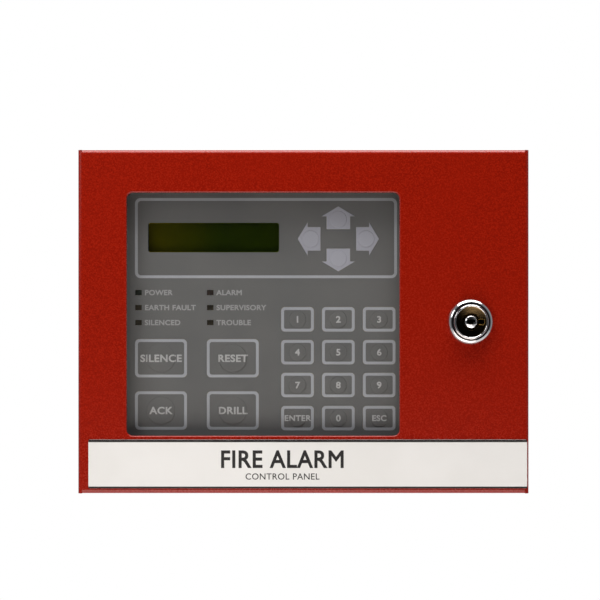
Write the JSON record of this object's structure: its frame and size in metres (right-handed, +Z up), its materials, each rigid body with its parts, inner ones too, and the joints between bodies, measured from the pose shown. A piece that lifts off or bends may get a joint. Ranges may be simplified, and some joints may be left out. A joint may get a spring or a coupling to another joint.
{
  "type": "fire alarm control panel",
  "caption": "Wall-mounted fire alarm control panel: red steel box, hinged locking door with a clear window over a keypad, text display and status lamps.",
  "frame": {"origin": "centre of the cabinet's back face, on the wall", "axes": "+X to the right as the panel is read, +Y into the wall, +Z up; the door faces -Y"},
  "size_m": [0.235, 0.0572, 0.179],
  "materials": {
    "red_powder_coat": "satin red powder coat with a fine even texture",
    "zinc_plated_steel": "bright zinc plate",
    "polished_chrome": "polished chrome plate",
    "clear_sheet": "clear polycarbonate sheet",
    "white_label": "satin white printed film with thin dark edge lines",
    "grey_keypad_film": "fine-textured dark grey printed film with light outlines",
    "arrow_print": "light grey printed film",
    "circuit_film": "translucent amber polyester film",
    "display_filter": "dark green-brown display behind a clear filter",
    "black_metal": "satin black",
    "black_plastic": "satin black moulding",
    "green_circuit_board": "green solder mask over copper tracks",
    "green_terminal_plastic": "satin green moulding",
    "lamp_green": "clear tinted resin, unlit",
    "lamp_amber": "clear tinted resin, unlit",
    "lamp_red": "clear tinted resin, unlit"
  },
  "bodies": {
    "cabinet": {"back_box": "red_powder_coat", "latch_strike": "zinc_plated_steel", "hinge_pin_upper": "zinc_plated_steel", "hinge_pin_lower": "zinc_plated_steel", "keypad_plate": "zinc_plated_steel", "keypad_overlay": "grey_keypad_film", "keypad_circuit": "circuit_film", "display_window": "display_filter", "display_glass": "display_filter", "display_frame": "black_metal", "display_board": "green_circuit_board", "circuit_board": "green_circuit_board", "terminal_block": "green_terminal_plastic", "sounder": "black_plastic", "post_top_left": "zinc_plated_steel", "plate_screw_top_left": "zinc_plated_steel", "post_top_right": "zinc_plated_steel", "plate_screw_top_right": "zinc_plated_steel", "post_bottom_left": "zinc_plated_steel", "plate_screw_bottom_left": "zinc_plated_steel", "post_bottom_right": "zinc_plated_steel", "plate_screw_bottom_right": "zinc_plated_steel", "lamp_power": "lamp_green", "lamp_earth_fault": "lamp_amber", "lamp_silenced": "lamp_amber", "lamp_alarm": "lamp_red", "lamp_supervisory": "lamp_amber", "lamp_trouble": "lamp_amber"},
    "door": {"door_panel": "red_powder_coat", "window_lens": "clear_sheet", "name_plate": "white_label", "lens_nut_top_left": "zinc_plated_steel", "lens_nut_top_right": "zinc_plated_steel", "lens_nut_bottom_left": "zinc_plated_steel", "lens_nut_bottom_right": "zinc_plated_steel", "lock_barrel": "polished_chrome", "lock_nut": "zinc_plated_steel"},
    "lock": {"lock_plug": "polished_chrome", "lock_cam": "zinc_plated_steel", "cam_screw": "zinc_plated_steel"},
    "key_1": {"key_1": "grey_keypad_film"},
    "key_2": {"key_2": "grey_keypad_film"},
    "key_3": {"key_3": "grey_keypad_film"},
    "key_4": {"key_4": "grey_keypad_film"},
    "key_5": {"key_5": "grey_keypad_film"},
    "key_6": {"key_6": "grey_keypad_film"},
    "key_7": {"key_7": "grey_keypad_film"},
    "key_8": {"key_8": "grey_keypad_film"},
    "key_9": {"key_9": "grey_keypad_film"},
    "key_0": {"key_0": "grey_keypad_film"},
    "key_enter": {"key_enter": "grey_keypad_film"},
    "key_escape": {"key_escape": "grey_keypad_film"},
    "key_silence": {"key_silence": "grey_keypad_film"},
    "key_reset": {"key_reset": "grey_keypad_film"},
    "key_acknowledge": {"key_acknowledge": "grey_keypad_film"},
    "key_drill": {"key_drill": "grey_keypad_film"},
    "key_up": {"key_up": "arrow_print"},
    "key_down": {"key_down": "arrow_print"},
    "key_left": {"key_left": "arrow_print"},
    "key_right": {"key_right": "arrow_print"}
  },
  "joints": [
    {"name": "door_hinge", "type": "hinge", "parent": "cabinet", "child": "door", "pos_m": [-0.1115, -0.0315, 0], "axis": [0, 0, -1], "range_deg": [0, 95]},
    {"name": "lock_turn", "type": "hinge", "parent": "door", "child": "lock", "pos_m": [0.0869, -0.032, 0], "axis": [0, -1, 0], "range_deg": [0, 90]},
    {"name": "key_1_press", "type": "slide", "parent": "cabinet", "child": "key_1", "axis": [0, 1, 0], "range_m": [0, 0.0004], "stiffness_N_per_m": 1500},
    {"name": "key_2_press", "type": "slide", "parent": "cabinet", "child": "key_2", "axis": [0, 1, 0], "range_m": [0, 0.0004], "stiffness_N_per_m": 1500},
    {"name": "key_3_press", "type": "slide", "parent": "cabinet", "child": "key_3", "axis": [0, 1, 0], "range_m": [0, 0.0004], "stiffness_N_per_m": 1500},
    {"name": "key_4_press", "type": "slide", "parent": "cabinet", "child": "key_4", "axis": [0, 1, 0], "range_m": [0, 0.0004], "stiffness_N_per_m": 1500},
    {"name": "key_5_press", "type": "slide", "parent": "cabinet", "child": "key_5", "axis": [0, 1, 0], "range_m": [0, 0.0004], "stiffness_N_per_m": 1500},
    {"name": "key_6_press", "type": "slide", "parent": "cabinet", "child": "key_6", "axis": [0, 1, 0], "range_m": [0, 0.0004], "stiffness_N_per_m": 1500},
    {"name": "key_7_press", "type": "slide", "parent": "cabinet", "child": "key_7", "axis": [0, 1, 0], "range_m": [0, 0.0004], "stiffness_N_per_m": 1500},
    {"name": "key_8_press", "type": "slide", "parent": "cabinet", "child": "key_8", "axis": [0, 1, 0], "range_m": [0, 0.0004], "stiffness_N_per_m": 1500},
    {"name": "key_9_press", "type": "slide", "parent": "cabinet", "child": "key_9", "axis": [0, 1, 0], "range_m": [0, 0.0004], "stiffness_N_per_m": 1500},
    {"name": "key_0_press", "type": "slide", "parent": "cabinet", "child": "key_0", "axis": [0, 1, 0], "range_m": [0, 0.0004], "stiffness_N_per_m": 1500},
    {"name": "key_enter_press", "type": "slide", "parent": "cabinet", "child": "key_enter", "axis": [0, 1, 0], "range_m": [0, 0.0004], "stiffness_N_per_m": 1500},
    {"name": "key_escape_press", "type": "slide", "parent": "cabinet", "child": "key_escape", "axis": [0, 1, 0], "range_m": [0, 0.0004], "stiffness_N_per_m": 1500},
    {"name": "key_silence_press", "type": "slide", "parent": "cabinet", "child": "key_silence", "axis": [0, 1, 0], "range_m": [0, 0.0004], "stiffness_N_per_m": 1500},
    {"name": "key_reset_press", "type": "slide", "parent": "cabinet", "child": "key_reset", "axis": [0, 1, 0], "range_m": [0, 0.0004], "stiffness_N_per_m": 1500},
    {"name": "key_acknowledge_press", "type": "slide", "parent": "cabinet", "child": "key_acknowledge", "axis": [0, 1, 0], "range_m": [0, 0.0004], "stiffness_N_per_m": 1500},
    {"name": "key_drill_press", "type": "slide", "parent": "cabinet", "child": "key_drill", "axis": [0, 1, 0], "range_m": [0, 0.0004], "stiffness_N_per_m": 1500},
    {"name": "key_up_press", "type": "slide", "parent": "cabinet", "child": "key_up", "axis": [0, 1, 0], "range_m": [0, 0.0004], "stiffness_N_per_m": 1500},
    {"name": "key_down_press", "type": "slide", "parent": "cabinet", "child": "key_down", "axis": [0, 1, 0], "range_m": [0, 0.0004], "stiffness_N_per_m": 1500},
    {"name": "key_left_press", "type": "slide", "parent": "cabinet", "child": "key_left", "axis": [0, 1, 0], "range_m": [0, 0.0004], "stiffness_N_per_m": 1500},
    {"name": "key_right_press", "type": "slide", "parent": "cabinet", "child": "key_right", "axis": [0, 1, 0], "range_m": [0, 0.0004], "stiffness_N_per_m": 1500}
  ]
}
